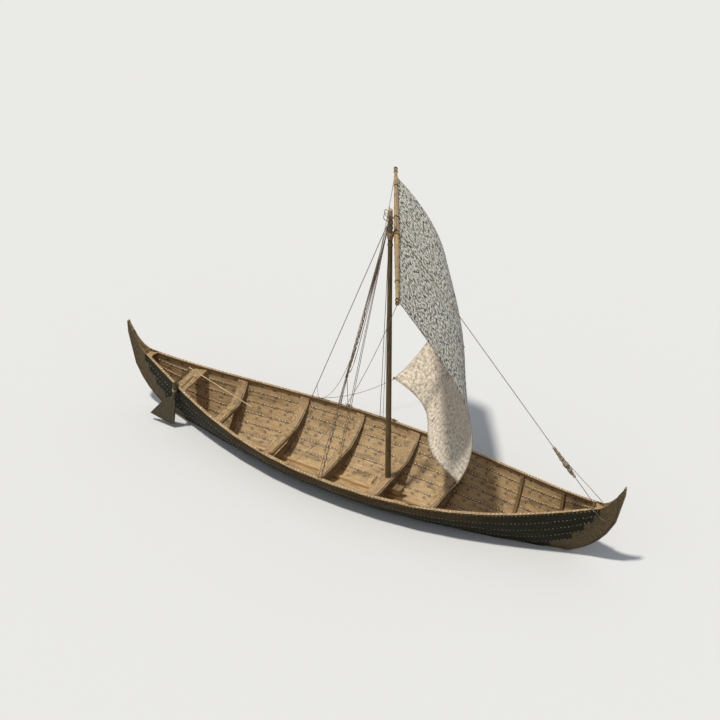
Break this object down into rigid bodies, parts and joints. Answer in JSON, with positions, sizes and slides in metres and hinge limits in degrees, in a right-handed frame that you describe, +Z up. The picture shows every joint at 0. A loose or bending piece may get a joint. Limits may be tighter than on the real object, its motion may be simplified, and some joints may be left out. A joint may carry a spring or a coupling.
{
  "type": "clinker sailing boat",
  "caption": "Open clinker-built double-ended sailing boat with raised winged stems, cross beams, one square sail on a braced yard and a side rudder with tiller and stick",
  "frame": {"origin": "on the waterline amidships, on the centre line", "axes": "+X towards the bow, +Y to port, +Z up"},
  "size_m": [11.135, 4.1345, 6.725],
  "materials": {
    "hull_wood": "tarred",
    "frame_wood": "oiled",
    "mast_wood": "oiled",
    "spar_wood": "oiled",
    "rudder_wood": "tarred",
    "sailcloth": "coarse weave",
    "rope": "laid hemp"
  },
  "bodies": {
    "hull": {"keel": "hull_wood", "stem_fore": "hull_wood", "stem_aft": "hull_wood", "strake_1_port": "hull_wood", "strake_2_port": "hull_wood", "strake_3_port": "hull_wood", "strake_4_port": "hull_wood", "strake_5_port": "hull_wood", "strake_6_port": "hull_wood", "gunwale_port": "frame_wood", "strake_1_starboard": "hull_wood", "strake_2_starboard": "hull_wood", "strake_3_starboard": "hull_wood", "strake_4_starboard": "hull_wood", "strake_5_starboard": "hull_wood", "strake_6_starboard": "hull_wood", "gunwale_starboard": "frame_wood", "beam_1": "frame_wood", "floor_1": "frame_wood", "beam_2": "frame_wood", "floor_2": "frame_wood", "beam_3": "frame_wood", "floor_3": "frame_wood", "beam_4": "frame_wood", "floor_4": "frame_wood", "beam_5": "frame_wood", "floor_5": "frame_wood", "frame_fore_1": "frame_wood", "frame_fore_2": "frame_wood", "helm_plank": "frame_wood", "breasthook_fore": "frame_wood", "breasthook_aft": "frame_wood", "mast_step": "frame_wood", "mast": "mast_wood", "shroud_starboard": "rope", "shroud_port": "rope", "backstay_port": "rope", "forestay": "rope", "cleat_starboard_aft": "frame_wood", "cleat_starboard_fore": "frame_wood", "cleat_port_aft": "frame_wood", "cleat_port_mid": "frame_wood", "rudder_boss": "rudder_wood", "rudder_collar": "rudder_wood"},
    "rudder": {"rudder": "rudder_wood", "tiller": "rudder_wood"},
    "tiller_stick": {"tiller_stick": "spar_wood"},
    "yard": {"yard": "spar_wood", "parrel": "frame_wood", "sail": "sailcloth"}
  },
  "joints": [
    {"name": "rudder_turn", "type": "hinge", "parent": "hull", "child": "rudder", "pos_m": [-4.13034, -0.50401, 0.88], "axis": [0.1392, 0, 0.9903], "range_deg": [-30, 30]},
    {"name": "stick_turn", "type": "hinge", "parent": "rudder", "child": "tiller_stick", "pos_m": [-4.08794, 0.03599, 1.18171], "axis": [0.1392, 0, 0.9903], "range_deg": [-30, 30]},
    {"name": "yard_brace", "type": "hinge", "parent": "hull", "child": "yard", "pos_m": [0.5772, 0, 5.904], "axis": [0, 0, 1], "range_deg": [-60, 15]}
  ],
  "couplings": [
    {"joint": "stick_turn", "follows": "rudder_turn", "ratio": -1}
  ]
}
